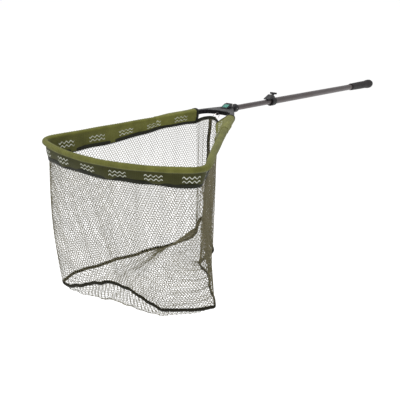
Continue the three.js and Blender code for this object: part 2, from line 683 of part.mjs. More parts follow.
class Helix extends THREE.Curve {
  getPoint(t, target = new THREE.Vector3()) {
    const angle = 2 * Math.PI * SPRING_TURNS * t;
    const height = BUTTON_BASE - coverTop - 2 * (SPRING_WIRE_R + GAP);
    return target.set(SPRING_R * Math.cos(angle), SPRING_R * Math.sin(angle), height * t);
  }
}
const wireSection = new THREE.Shape(circlePoints(SPRING_WIRE_R, 6).map(([x, y]) => inPlan(x, y)));
addPiece(head, 'button_spring', new THREE.ExtrudeGeometry(wireSection, {
  steps: 42,
  bevelEnabled: false,
  extrudePath: new Helix(),
}).translate((CAVITY_REAR + CAVITY_FRONT) / 2, 0, coverTop + SPRING_WIRE_R + GAP), steel);

addPiece(head, 'hub_cover', carve([
  block(
    coverRear + GAP,
    COVER_FRONT,
    -COVER_HALF_WIDTH,
    COVER_HALF_WIDTH,
    -YOKE_HALF_HEIGHT,
    coverTop,
  ),
], SCREW_PLACES.flatMap(([x, y]) => [
  uprightPin(x, y, -YOKE_HALF_HEIGHT - 1, coverTop + 1, SCREW_R + GAP),
  uprightPin(x, y, -YOKE_HALF_HEIGHT - 1, -YOKE_HALF_HEIGHT + SCREW_HEAD_HEIGHT + GAP, SCREW_HEAD_R + GAP),
])), blackPlastic);

SCREW_PLACES.forEach(([x, y], i) => {
  const screw = turned([
    [0, 0],
    [0, SCREW_HEAD_R],
    [SCREW_HEAD_HEIGHT, SCREW_HEAD_R],
    [SCREW_HEAD_HEIGHT, SCREW_R],
    [SCREW_LENGTH, SCREW_R],
    [SCREW_LENGTH + 1, 0],
  ], 16);
  const placed = screw.rotateY(-Math.PI / 2).translate(x, y, -YOKE_HALF_HEIGHT);
  addPiece(head, `cover_screw_${i + 1}`, placed, steel);
});

const ringLoop = new THREE.TorusGeometry(RING_R, RING_WIRE_R, 8, 28).translate(RING_R, 0, 0);
ringLoop.rotateY(RING_HANG).translate(lugHoleX, 0, -1.5);
addPiece(head, 'net_ring', ringLoop, steel);

// Rim rod and the pins that hold it in the yoke's arms.
addPiece(head, 'rim_rod', carve([
  alongRim(circlePoints(RIM_ROD_R, 8), null, rodStart, rim.total - rodStart, RIM_STEPS),
], rimPinHoles), aluminium);
['rim_pin_right', 'rim_pin_left'].forEach((name, i) => {
  const { x, y } = pinPlaces[i];
  const pin = uprightPin(x, y, -YOKE_HALF_HEIGHT + 0.2, YOKE_HALF_HEIGHT - 0.2, RIM_PIN_R, 12);
  addPiece(head, name, pin, steel);
});

// Sleeve: a fabric roll round the rod with a band that hangs from it, and two wider ends over the yoke.
const bandHalf = BAND_THICKNESS / 2;
const bandAngle = Math.asin(bandHalf / SLEEVE_R);
const rollSection = [
  ...arcPoints(0, 0, SLEEVE_R, -Math.PI / 2 + bandAngle, 1.5 * Math.PI - bandAngle, 10),
  [-bandHalf, -BAND_DROP],
  [bandHalf, -BAND_DROP],
];
const sleeveStart = YOKE_ARM_LENGTH + 1.5;
addPiece(head, 'rim_sleeve', alongRim(
  rollSection,
  circlePoints(SLEEVE_BORE_R, 8),
  sleeveStart,
  rim.total - sleeveStart,
  RIM_STEPS,
), oliveFabric);

const endHalf = YOKE_ARM_WIDTH / 2 + SLEEVE_END_SIDE_ROOM + SLEEVE_END_WALL;
const endUp = YOKE_HALF_HEIGHT + SLEEVE_END_TOP_ROOM + SLEEVE_END_WALL;
const endSection = [
  [bandHalf, -endUp],
  [endHalf - 3, -endUp],
  [endHalf, -endUp + 3],
  [endHalf, endUp - 3],
  [endHalf - 3, endUp],
  [-endHalf + 3, endUp],
  [-endHalf, endUp - 3],
  [-endHalf, -endUp + 3],
  [-endHalf + 3, -endUp],
  [-bandHalf, -endUp],
  [-bandHalf, -BAND_DROP],
  [bandHalf, -BAND_DROP],
];
const [endInside, endInsideUp] = [endHalf - SLEEVE_END_WALL, endUp - SLEEVE_END_WALL];
const endHole = [
  [endInside - 2, -endInsideUp],
  [endInside, -endInsideUp + 2],
  [endInside, endInsideUp - 2],
  [endInside - 2, endInsideUp],
  [-endInside + 2, endInsideUp],
  [-endInside, endInsideUp - 2],
  [-endInside, -endInsideUp + 2],
  [-endInside + 2, -endInsideUp],
];
addPiece(head, 'sleeve_end_right', alongRim(
  endSection,
  endHole,
  -SLEEVE_END_BACK,
  YOKE_ARM_LENGTH + 1,
  6,
), oliveFabric);
addPiece(head, 'sleeve_end_left', alongRim(
  endSection,
  endHole,
  rim.total - YOKE_ARM_LENGTH - 1,
  rim.total + SLEEVE_END_BACK,
  6,
), oliveFabric);

// Bag. Its mouth follows the band's lower edge and crosses between the arms at the back, where it rises.
const STAGE_STEPS = [14, 5, 10];
const BACK_STEPS = 12;

// Points round an outline, with as many on each stretch whatever its length.
function outlinePoints(outline, back) {
  const [arm, corner, half] = outline.stages;
  const ends = [-back, arm, corner, half];
  const distances = [];
  STAGE_STEPS.forEach((steps, stage) => {
    for (let i = 0; i < steps; i += 1) {
      distances.push(ends[stage] + ((ends[stage + 1] - ends[stage]) * i) / steps);
    }
  });
  const mirrored = distances.map((distance) => outline.total - distance).reverse();
  return [...distances, half, ...mirrored].map(outline.pointAt);
}

// Adds the points that cross from the last point back to the first, bowed by the given amounts.
function closeBack(points, bowX, bowZ) {
  const [first, last] = [points[0], points[points.length - 1]];
  const crossing = [];
  for (let i = 1; i < BACK_STEPS; i += 1) {
    const p = last.clone().lerp(first, i / BACK_STEPS);
    const bow = Math.sin((Math.PI * i) / BACK_STEPS);
    crossing.push(new THREE.Vector3(p.x + bowX * bow, p.y, p.z + bowZ * bow));
  }
  return [...points, ...crossing];
}

const bagFloor = bowedOutline({
  length: FLOOR_LENGTH,
  halfWidth: FLOOR_HALF_WIDTH,
  frontR: FLOOR_FRONT_R,
  cornerR: FLOOR_CORNER_R,
  start: FLOOR_ARM_START,
});
const mouthZ = -BAND_DROP - BAG_GAP;
const floorFall = (FLOOR_FRONT_Z - FLOOR_BACK_Z) / (FLOOR_LENGTH - FLOOR_ARM_START.x);
const mouthSides = outlinePoints(rim, SLEEVE_END_BACK).map((p) => p.setZ(mouthZ));
const mouth = closeBack(mouthSides, BAG_BACK - mouthSides[0].x, BAG_BACK_RISE);
const floorSides = outlinePoints(bagFloor, 0).map((p) => (
  p.setZ(FLOOR_BACK_Z + (p.x - FLOOR_ARM_START.x) * floorFall)
));
const floorLoop = closeBack(floorSides, 0, 0);
const sideCount = mouthSides.length;

// Moves each point of a closed loop sideways in plan: positive is outward.
function offsetLoop(loop, outward, rise = 0) {
  const count = loop.length;
  return loop.map((p, i) => {
    const before = loop[(i + count - 1) % count];
    const after = loop[(i + 1) % count];
    const sideways = new THREE.Vector2(before.y - after.y, after.x - before.x).normalize();
    return new THREE.Vector3(p.x + sideways.x * outward, p.y + sideways.y * outward, p.z + rise);
  });
}

// A solid whose skin runs through the given loops in turn and back to the first.
// A ring joins each loop's ends, and a strip caps them instead.
function skinSolid(loops, isRing) {
  const count = loops[0].length;
  const points = loops.flat();
  const index = [];
  const corner = (ring, i) => (ring % loops.length) * count + (i % count);
  for (let ring = 0; ring < loops.length; ring += 1) {
    for (let i = 0; i < (isRing ? count : count - 1); i += 1) {
      const [a, b] = [corner(ring, i), corner(ring, i + 1)];
      const [c, d] = [corner(ring + 1, i + 1), corner(ring + 1, i)];
      index.push(a, b, c, a, c, d);
    }
  }
  if (!isRing) {
    for (const [end, flip] of [[0, false], [count - 1, true]]) {
      for (let ring = 1; ring + 1 < loops.length; ring += 1) {
        const fan = [corner(0, end), corner(ring, end), corner(ring + 1, end)];
        index.push(...(flip ? fan.reverse() : fan));
      }
    }
  }
  const geometry = new THREE.BufferGeometry().setFromPoints(points);
  geometry.setIndex(index);
  return geometry;
}

const wallInner = (loop) => offsetLoop(loop, -BAG_THICKNESS);
const wallLoops = [mouth, floorLoop, wallInner(floorLoop), wallInner(mouth)];
addPiece(head, 'net_wall', skinSolid(wallLoops, true), netting);

const floorEdge = offsetLoop(floorLoop, -BAG_THICKNESS - GAP).reverse();
const floorPlan = floorEdge.map((p) => inPlan(p.x, p.y));
const floorFaces = THREE.ShapeUtils.triangulateShape(floorPlan, []);
const floorGeometry = new THREE.BufferGeometry().setFromPoints([
  ...floorEdge,
  ...floorEdge.map((p) => new THREE.Vector3(p.x, p.y, p.z + BAG_THICKNESS)),
]);
const floorIndex = [];
for (const [a, b, c] of floorFaces) {
  floorIndex.push(a, c, b, a + floorEdge.length, b + floorEdge.length, c + floorEdge.length);
}
for (let a = 0; a < floorEdge.length; a += 1) {
  const b = (a + 1) % floorEdge.length;
  floorIndex.push(a, b, b + floorEdge.length, a, b + floorEdge.length, a + floorEdge.length);
}
floorGeometry.setIndex(floorIndex);
addPiece(head, 'net_floor', floorGeometry, netting);

const seamTop = floorLoop.map((p, i) => p.clone().lerp(mouth[i], FLOOR_TAPE_SHARE));
addPiece(head, 'floor_seam_tape', skinSolid([
  offsetLoop(seamTop, TAPE_GAP),
  offsetLoop(seamTop, TAPE_GAP + TAPE_THICKNESS),
  offsetLoop(floorLoop, TAPE_GAP + TAPE_THICKNESS),
  offsetLoop(floorLoop, TAPE_GAP),
], true), oliveTape);

// Back edge binding, along the part of the mouth that crosses between the arms.
const backEdge = mouth.slice(sideCount + 1, -1);
const bindingLine = (dx, dz) => backEdge.map((p) => new THREE.Vector3(p.x + dx, p.y, p.z + GAP + dz));
addPiece(head, 'back_edge_binding', skinSolid([
  bindingLine(-BINDING_BACK, 0),
  bindingLine(-BINDING_BACK, BINDING_HEIGHT),
  bindingLine(BINDING_FRONT, BINDING_HEIGHT),
  bindingLine(BINDING_FRONT, 0),
], false), oliveTape);

// Back seam tape, down the middle of the bag's back.
const backTop = mouth[sideCount - 1 + BACK_STEPS / 2];
const backBottom = floorLoop[sideCount - 1 + BACK_STEPS / 2];
const seamShares = [0.01, 0.25, 0.5, 0.75, 1 - FLOOR_TAPE_SHARE - 0.01];
const seamLine = (side, behind) => seamShares.map((share) => {
  const p = backTop.clone().lerp(backBottom, share);
  return new THREE.Vector3(p.x - behind, (side * TAPE_WIDTH) / 2, p.z);
});
const seamInner = 2 * TAPE_GAP;
addPiece(head, 'back_seam_tape', skinSolid([
  seamLine(-1, seamInner),
  seamLine(1, seamInner),
  seamLine(1, seamInner + TAPE_THICKNESS),
  seamLine(-1, seamInner + TAPE_THICKNESS),
], false), oliveTape);

export default group;
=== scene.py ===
"""Folding landing net with a telescopic handle, finished over its CAD frame.

Metres, +Z up. The named lengths below and the head's own axes are in millimetres:
u runs forward from the hub, v along +Y and z up, with the rim in the plane z = 0.
The near arm is the one at +v, which the camera looks over, and the far arm is at -v.
"""
import json
import math

import bmesh
import bpy
import numpy as np
from mathutils import Matrix, Vector


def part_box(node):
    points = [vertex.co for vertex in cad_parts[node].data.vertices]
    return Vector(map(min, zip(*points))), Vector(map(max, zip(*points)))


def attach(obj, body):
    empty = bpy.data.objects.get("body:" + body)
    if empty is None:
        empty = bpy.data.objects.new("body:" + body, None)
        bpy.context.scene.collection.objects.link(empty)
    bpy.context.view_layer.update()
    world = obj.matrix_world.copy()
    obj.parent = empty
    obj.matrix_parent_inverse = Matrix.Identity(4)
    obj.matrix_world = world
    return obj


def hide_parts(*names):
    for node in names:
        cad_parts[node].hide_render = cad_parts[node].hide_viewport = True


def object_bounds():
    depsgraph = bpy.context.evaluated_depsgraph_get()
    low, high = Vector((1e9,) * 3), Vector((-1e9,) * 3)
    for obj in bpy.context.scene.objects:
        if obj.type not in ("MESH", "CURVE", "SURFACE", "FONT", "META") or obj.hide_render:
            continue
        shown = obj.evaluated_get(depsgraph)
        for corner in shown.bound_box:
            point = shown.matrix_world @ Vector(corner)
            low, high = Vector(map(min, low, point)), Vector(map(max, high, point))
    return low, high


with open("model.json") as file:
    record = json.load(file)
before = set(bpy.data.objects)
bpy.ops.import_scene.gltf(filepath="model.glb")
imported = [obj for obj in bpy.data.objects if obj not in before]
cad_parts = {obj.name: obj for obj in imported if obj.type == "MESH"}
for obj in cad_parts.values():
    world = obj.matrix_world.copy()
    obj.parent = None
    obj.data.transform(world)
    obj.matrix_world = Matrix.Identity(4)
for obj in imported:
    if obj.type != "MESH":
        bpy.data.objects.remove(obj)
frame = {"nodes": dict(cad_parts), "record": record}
cad_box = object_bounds()
joints = {joint["name"]: joint for joint in frame["record"]["behaviour"]["joints"]}

MM = 0.001
HINGE_U, HINGE_Z = -2.0, 11.5
HUB = Vector(joints["head_fold"]["pos_m"]) - Vector((HINGE_U, 0, HINGE_Z)) * MM

# Rim, sleeve and bag, in millimetres
RIM = {"length": 598, "half_width": 229, "front_r": 411, "corner_r": 37, "start": (104, 65)}
SLEEVE_BACK = 20
SLEEVE_END = 112
ROLL_R = 6.6
NEAR_ROLL_R = 8.6
CLOTH = 1.3
BINDING_HEIGHT = 9.5
BAND_BINDING_THICKNESS = 6.4
BACK_BINDING_WIDTH = 9
BACK_BINDING_THICKNESS = 3.6
TRIM_WIDTH = 8
TRIM_THICKNESS = 3.0
TAPE_WIDTH = 9.5
TAPE_THICKNESS = 2.4
FLOOR_TAPE_THICKNESS = 5.5
FLOOR_NET_WIDTH, FLOOR_NET_LENGTH = 300, 390
BELLY_DEPTH = 84
SEAM_WOBBLE = 1.6
TIE_CORD_R = 0.8
TIE_PLACES = (-2.4, 0, 2.4)
TIE_POINTS = 26
TIE_HALF_LENGTH, TIE_HALF_WIDTH, TIE_HALF_HEIGHT = 8.5, 1.2, 3.6
MESH_CELL = 7.4
ROW_SHARE = 0.8  # a row's height over a cell's width
ZIGZAG = 0.26
STRAND_R = 0.66
STRAND_OVERLAP = 0.6
SHORTEST_STRAND = 0.4
AREA_STEPS = 61
WAVE_PITCH = 88

# The camera looks at the hub, from the given distance in metres and shifted across and down
CAMERA_LENS = 76.5
CAMERA_AZIMUTH, CAMERA_ELEVATION = 121.3, 19.9
CAMERA_DISTANCE, CAMERA_ACROSS, CAMERA_DOWN = 2.41573, 0.08218, 0.26013


# ---------------------------------------------------------------- places and outlines

def head_points(array):
    """Points in the head's axes, in millimetres, as metres in the scene."""
    return np.asarray(array, float) * MM + np.array(HUB)


def smooth(edge0, edge1, x):
    """0 up to edge0, 1 from edge1 on, and a soft slope between them."""
    t = np.clip((np.asarray(x, float) - edge0) / (edge1 - edge0), 0, 1)
    return t * t * (3 - 2 * t)


class Outline:
    """Straight arms, round corners and a bowed front, measured from the start of the +v arm."""

    def __init__(self, length, half_width, front_r, corner_r, start):
        self.start = np.array(start, float)
        self.front_r, self.corner_r = front_r, corner_r
        self.centre = length - front_r
        corner_v = half_width - corner_r
        corner_u = self.centre + math.sqrt((front_r - corner_r) ** 2 - corner_v**2)
        self.corner = np.array((corner_u, corner_v))
        reach = self.corner - self.start
        self.angle = math.atan2(reach[1], reach[0]) + math.asin(corner_r / np.hypot(*reach))
        self.direction = np.array((math.cos(self.angle), math.sin(self.angle)))
        front_angle = math.atan2(corner_v, corner_u - self.centre)
        self.arm = math.sqrt(reach @ reach - corner_r**2)
        self.bend = self.arm + corner_r * (self.angle + math.pi / 2 - front_angle)
        self.half = self.bend + front_r * front_angle
        self.total = 2 * self.half

    def at(self, distance):
        distance = np.asarray(distance, float)
        run = np.minimum(distance, self.total - distance)[..., None]
        straight = self.start + self.direction * run
        turn = self.angle + math.pi / 2 - (run - self.arm) / self.corner_r
        bend = self.corner + self.corner_r * np.concatenate((np.cos(turn), np.sin(turn)), -1)
        sweep = (self.half - run) / self.front_r
        front = self.front_r * np.concatenate((np.cos(sweep), np.sin(sweep)), -1) + (self.centre, 0)
        point = np.where(run < self.arm, straight, np.where(run < self.bend, bend, front))
        point[..., 1] *= np.where(distance > self.half, -1, 1)
        return point

    def outward(self, distance):
        step = self.at(np.asarray(distance) + 0.5) - self.at(np.asarray(distance) - 0.5)
        return np.stack((-step[..., 1], step[..., 0]), -1) / np.linalg.norm(step, axis=-1, keepdims=True)


rim = Outline(**RIM)


def band_bottom(distance):
    """Height of the band's lower edge. It hangs, but the near end is drawn up by the bag's back edge."""
    run = np.minimum(distance, rim.total - distance)
    near = np.asarray(distance) < rim.half
    start = np.where(near, -14, -29)
    settle = np.where(near, -30, -25)
    height = start + (settle - start) * smooth(-20, 55, run)
    height = height + (-41 - settle) * smooth(70, 330, run) + 5 * smooth(450, rim.half, run)
    return height + 1.2 * np.sin(distance / 41.0) + 0.8 * np.sin(distance / 17.0 + 1)


def band_lean(distance):
    """How far the band's lower edge leans in from the roll. The near end is spread inwards like a flap."""
    distance = np.asarray(distance, float)
    run = np.minimum(distance, rim.total - distance)
    near = 37 - 9 * smooth(-15, 55, run) - 14 * smooth(50, 330, run)
    far = 2 + 5 * smooth(0, 250, run)
    side = smooth(rim.arm - 20, rim.bend + 60, distance)
    lean = near * (1 - side) + far * side
    return lean + 1.8 * np.sin(distance / 29.0 + 0.4) + 1.1 * np.sin(distance / 12.3)


def roll_radius(distance):
    """Radius of the roll round the rod, fuller on the near arm."""
    near = 1 - smooth(rim.arm - 60, rim.bend, distance)
    return ROLL_R + (NEAR_ROLL_R - ROLL_R) * near + 0.25 * np.sin(np.asarray(distance) / 19.0)


def cloth_shift(distance):
    """How far the near arm's cloth is pulled inwards from the middle of its rod or arm."""
    return -2.6 * (1 - smooth(rim.arm - 120, rim.arm, distance))


def rim_frame(distance, outward, up):
    """Points beside the rim line, in head axes: out from it and up from it."""
    base, side = rim.at(distance), rim.outward(distance)
    flat = base + side * np.asarray(outward)[..., None]
    return np.concatenate((flat, np.broadcast_to(np.asarray(up, float), flat.shape[:-1])[..., None]), -1)


# ---------------------------------------------------------------- meshes

def make_object(name, vertices, faces, material, uvs=None):
    mesh = bpy.data.meshes.new(name)
    vertices = np.asarray(vertices, float).reshape(-1, 3)
    mesh.from_pydata(vertices.tolist(), [], [list(map(int, face)) for face in faces])
    if uvs is not None:
        layer = mesh.uv_layers.new(name="cloth")
        layer.data.foreach_set("uv", np.asarray(uvs, float).ravel())
    mesh.materials.append(material)
    mesh.polygons.foreach_set("use_smooth", [True] * len(mesh.polygons))
    mesh.update()
    obj = bpy.data.objects.new(name, mesh)
    bpy.context.scene.collection.objects.link(obj)
    return obj


def face_outward(obj):
    """Turn the faces of a closed skin outwards."""
    work = bmesh.new()
    work.from_mesh(obj.data)
    bmesh.ops.recalc_face_normals(work, faces=work.faces)
    work.to_mesh(obj.data)
    work.free()
    return obj


def loft(name, rings, material, along, around, path_closed=False):
    """A skin over closed rings of points, shape (stations, points, 3), in metres."""
    rings = np.asarray(rings, float)
    stations, points = rings.shape[:2]
    rows = stations if path_closed else stations - 1
    i, j = np.meshgrid(np.arange(rows), np.arange(points), indexing="ij")
    i, j = i.ravel(), j.ravel()
    ahead, beside = (i + 1) % stations, (j + 1) % points
    faces = np.stack(
        (i * points + j, i * points + beside, ahead * points + beside, ahead * points + j), -1
    )
    along, around = np.append(along, along[-1]), np.append(around, around[-1])
    u = np.stack((along[i], along[i], along[i + 1], along[i + 1]), -1)
    v = np.stack((around[j], around[j + 1], around[j + 1], around[j]), -1)
    uvs = np.stack((u, v), -1).reshape(-1, 2)
    face_list = faces.tolist()
    if not path_closed:
        last_ring = range((stations - 1) * points, stations * points)
        face_list += [list(range(points))[::-1], list(last_ring)]
        uvs = np.concatenate((uvs, np.zeros((2 * points, 2))))
    return face_outward(make_object(name, rings, face_list, material, uvs))


def curve_lengths(points):
    steps = np.linalg.norm(np.diff(points, axis=0), axis=1)
    return np.concatenate(([0], np.cumsum(steps)))


def through(points, count, closed=False):
    """Evenly spaced points on a smooth curve through the given ones."""
    points = np.asarray(points, float)
    before = points[-1:] if closed else 2 * points[:1] - points[1:2]
    after = points[:2] if closed else 2 * points[-1:] - points[-2:-1]
    padded = np.concatenate((before, points, after))
    fine = []
    for k in range(1, len(padded) - 2):
        p0, p1, p2, p3 = padded[k - 1 : k + 3]
        t = np.linspace(0, 1, 24, endpoint=False)[:, None]
        spline = 2 * p1 + (p2 - p0) * t + (2 * p0 - 5 * p1 + 4 * p2 - p3) * t**2
        fine.append(0.5 * (spline + (3 * p1 - p0 - 3 * p2 + p3) * t**3))
    fine.append(padded[-2:-1])
    fine = np.concatenate(fine)
    lengths = curve_lengths(fine)
    wanted = np.linspace(0, lengths[-1], count + 1 if closed else count)
    even = np.stack([np.interp(wanted, lengths, fine[:, axis]) for axis in range(3)], -1)
    return even[:-1] if closed else even


def path_tangents(path, closed):
    """Unit directions along a path, from the points before and after each one."""
    if closed:
        ahead, behind = np.roll(path, -1, 0), np.roll(path, 1, 0)
    else:
        ahead, behind = np.concatenate((path[1:], path[-1:])), np.concatenate((path[:1], path[:-1]))
    tangent = ahead - behind
    return tangent / np.linalg.norm(tangent, axis=1, keepdims=True)


def ribbon(name, path, across, width, thickness, material, closed=False, crown=0.35):
    """A flat tape along a path. across is each station's direction over the tape's width."""
    path = np.asarray(path, float)
    tangent = path_tangents(path, closed)
    across = np.broadcast_to(np.asarray(across, float), path.shape)
    across = across - tangent * np.sum(across * tangent, 1, keepdims=True)
    across /= np.linalg.norm(across, axis=1, keepdims=True)
    normal = np.cross(tangent, across)
    half = np.array([-0.5, -0.3, 0, 0.3, 0.5])
    bulge = thickness / 2 * (1 - crown * (2 * half) ** 2)
    side = np.concatenate((half, half[::-1])) * width
    lift = np.concatenate((bulge, -bulge[::-1]))
    rings = path[:, None] + across[:, None] * side[:, None] + normal[:, None] * lift[:, None]
    lengths = curve_lengths(path)
    around = np.concatenate((half, 1 - half[::-1])) * width * MM
    return loft(name, head_points(rings), material, lengths * MM, around, closed)


CABLE_SIDES = 8


def cable(name, path, radius, material, closed=False):
    """A round cord or wire along a path in head axes."""
    path = np.asarray(path, float)
    tangent = path_tangents(path, closed)
    normals = [np.cross(tangent[0], (0.31, 0.17, 0.93))]
    for t in tangent[1:]:
        n = normals[-1] - t * (normals[-1] @ t)
        normals.append(n)
    normal = np.array([n / np.linalg.norm(n) for n in normals])
    binormal = np.cross(tangent, normal)
    turn = np.linspace(0, 2 * math.pi, CABLE_SIDES, endpoint=False)
    rings = path[:, None] + radius * (
        normal[:, None] * np.cos(turn)[:, None] + binormal[:, None] * np.sin(turn)[:, None]
    )
    around = np.linspace(0, 2 * math.pi * radius * MM, CABLE_SIDES)
    return loft(name, head_points(rings), material, curve_lengths(path) * MM, around, closed)


# ---------------------------------------------------------------- materials

def srgb(red, green, blue):
    def linear(value):
        value /= 255
        return value / 12.92 if value <= 0.04045 else ((value + 0.055) / 1.055) ** 2.4

    return (linear(red), linear(green), linear(blue), 1)


class Surface:
    """A node material with a few short ways to build on it."""

    def __init__(self, name, roughness, metallic=0.0, specular=0.5, sheen=0.0):
        self.material = bpy.data.materials.new(name)
        self.material.use_nodes = True
        self.tree = self.material.node_tree
        self.shader = self.tree.nodes["Principled BSDF"]
        self.shader.inputs["Roughness"].default_value = roughness
        self.shader.inputs["Metallic"].default_value = metallic
        self.shader.inputs["Specular IOR Level"].default_value = specular
        self.shader.inputs["Sheen Weight"].default_value = sheen
        self.height = None

    def add(self, kind, **settings):
        node = self.tree.nodes.new(kind)
        for key, value in settings.items():
            setattr(node, key, value)
        return node

    def put(self, value, socket):
        if isinstance(value, bpy.types.NodeSocket):
            self.tree.links.new(value, socket)
        else:
            socket.default_value = value

    def math(self, operation, *values):
        node = self.add("ShaderNodeMath", operation=operation)
        for value, socket in zip(values, node.inputs):
            self.put(value, socket)
        return node.outputs[0]

    def coordinates(self, scale=(1, 1, 1)):
        source = self.add("ShaderNodeTexCoord").outputs["Object"]
        mapping = self.add("ShaderNodeMapping")
        mapping.inputs["Scale"].default_value = scale
        self.put(source, mapping.inputs["Vector"])
        return mapping.outputs[0]

    def noise(self, scale, detail, where=None):
        node = self.add("ShaderNodeTexNoise")
        node.inputs["Scale"].default_value = scale
        node.inputs["Detail"].default_value = detail
        self.put(where or self.coordinates(), node.inputs["Vector"])
        return node.outputs["Fac"]

    def ramp(self, value, *stops):
        node = self.add("ShaderNodeValToRGB")
        while len(node.color_ramp.elements) < len(stops):
            node.color_ramp.elements.new(0.5)
        for element, (place, color) in zip(node.color_ramp.elements, stops):
            element.position = place
            element.color = color
        self.put(value, node.inputs[0])
        return node.outputs[0]

    def between(self, value, low, high, start=0.0, end=1.0):
        node = self.add("ShaderNodeMapRange", interpolation_type="SMOOTHSTEP")
        for socket, number in zip(node.inputs[1:5], (low, high, start, end)):
            socket.default_value = number
        self.put(value, node.inputs[0])
        return node.outputs[0]

    def mix(self, share, first, second):
        node = self.add("ShaderNodeMix", data_type="RGBA")
        self.put(share, node.inputs[0])
        self.put(first, node.inputs[6])
        self.put(second, node.inputs[7])
        return node.outputs[2]

    def color(self, value):
        self.put(value, self.shader.inputs["Base Color"])

    def roughness(self, value):
        self.put(value, self.shader.inputs["Roughness"])

    def bump(self, height, strength, distance):
        node = self.add("ShaderNodeBump")
        node.inputs["Strength"].default_value = strength
        node.inputs["Distance"].default_value = distance
        self.put(height, node.inputs["Height"])
        if self.height is not None:
            self.put(self.height, node.inputs["Normal"])
        self.height = node.outputs[0]
        self.put(self.height, self.shader.inputs["Normal"])

    def cloth_axes(self):
        """Distance along the cloth and across it, in metres, from its own map."""
        node = self.add("ShaderNodeUVMap", uv_map="cloth")
        split = self.add("ShaderNodeSeparateXYZ")
        self.put(node.outputs[0], split.inputs[0])
        return split.outputs[0], split.outputs[1]

    def ridges(self, coordinate, pitch):
        """0 to 1 and back over each pitch of the coordinate."""
        turns = self.math("MULTIPLY_ADD", coordinate, 2 * math.pi / pitch, 0.0)
        return self.math("MULTIPLY_ADD", self.math("SINE", turns), 0.5, 0.5)


def moulded_plastic(name, dark, light, roughness):
    look = Surface(name, roughness, specular=0.2)
    grain = look.noise(1400, 3)
    mottle = look.noise(60, 4)
    look.color(look.ramp(mottle, (0.3, dark), (0.75, light)))
    look.roughness(look.between(mottle, 0.3, 0.8, roughness - 0.06, roughness + 0.1))
    look.bump(grain, 0.25, 0.0002)
    return look.material


def anodised(name):
    look = Surface(name, 0.38, 0.72)
    streaks = look.noise(1, 4, look.coordinates(scale=(6, 900, 900)))
    patches = look.noise(14, 3)
    look.color(look.mix(
        look.between(patches, 0.35, 0.7),
        look.ramp(streaks, (0.3, srgb(66, 59, 60)), (0.7, srgb(92, 84, 86))),
        srgb(74, 64, 63),
    ))
    look.roughness(look.between(streaks, 0.2, 0.8, 0.3, 0.46))
    look.bump(streaks, 0.08, 0.0001)
    return look.material


def grip_rubber(name):
    look = Surface(name, 0.72, specular=0.3)
    cells = look.add("ShaderNodeTexVoronoi")
    cells.inputs["Scale"].default_value = 650
    look.put(look.coordinates(), cells.inputs["Vector"])
    patches = look.noise(30, 4)
    look.color(look.ramp(patches, (0.3, srgb(20, 18, 19)), (0.7, srgb(40, 37, 38))))
    look.roughness(look.between(patches, 0.3, 0.7, 0.62, 0.8))
    look.bump(cells.outputs["Distance"], 0.35, 0.0003)
    return look.material


def metal(name, dark, light, roughness):
    look = Surface(name, roughness, 1.0)
    streaks = look.noise(1, 3, look.coordinates(scale=(500, 500, 500)))
    look.color(look.ramp(streaks, (0.25, dark), (0.75, light)))
    look.roughness(look.between(streaks, 0.2, 0.8, roughness - 0.06, roughness + 0.08))
    look.bump(streaks, 0.06, 0.0001)
    return look.material


def inside_span(look, coordinate, low, high, fade=0.0015):
    return look.math(
        "MULTIPLY",
        look.between(coordinate, low, low + fade),
        look.between(coordinate, high - fade, high, 1, 0),
    )


WAVE_LENGTH = 0.14  # as a share of the pitch
WAVE_SPAN = (0.14, 0.64)
WAVE_OFFSETS = (-0.0045, 0.0045)
WAVE_HEIGHT = 0.0022
WAVE_LINE = (0.0009, 0.0014)


def wave_print(look, along, across, middles):
    """Two pale wave lines, one over the other, repeated along the cloth."""
    place = look.math("FRACT", look.math("DIVIDE", along, WAVE_PITCH * MM))
    swell = look.math("SINE", look.math("MULTIPLY", place, 2 * math.pi / WAVE_LENGTH))
    ink = 0.0
    for middle in middles:
        for offset in WAVE_OFFSETS:
            line = look.math("MULTIPLY_ADD", swell, WAVE_HEIGHT, middle + offset)
            away = look.math("ABSOLUTE", look.math("SUBTRACT", across, line))
            ink = look.math("MAXIMUM", look.between(away, *WAVE_LINE, 1, 0), ink)
    worn = look.between(look.noise(160, 2), 0.3, 0.6, 0.35, 1)
    printed = look.math("MULTIPLY", ink, inside_span(look, place, *WAVE_SPAN))
    return look.math("MULTIPLY", printed, worn)


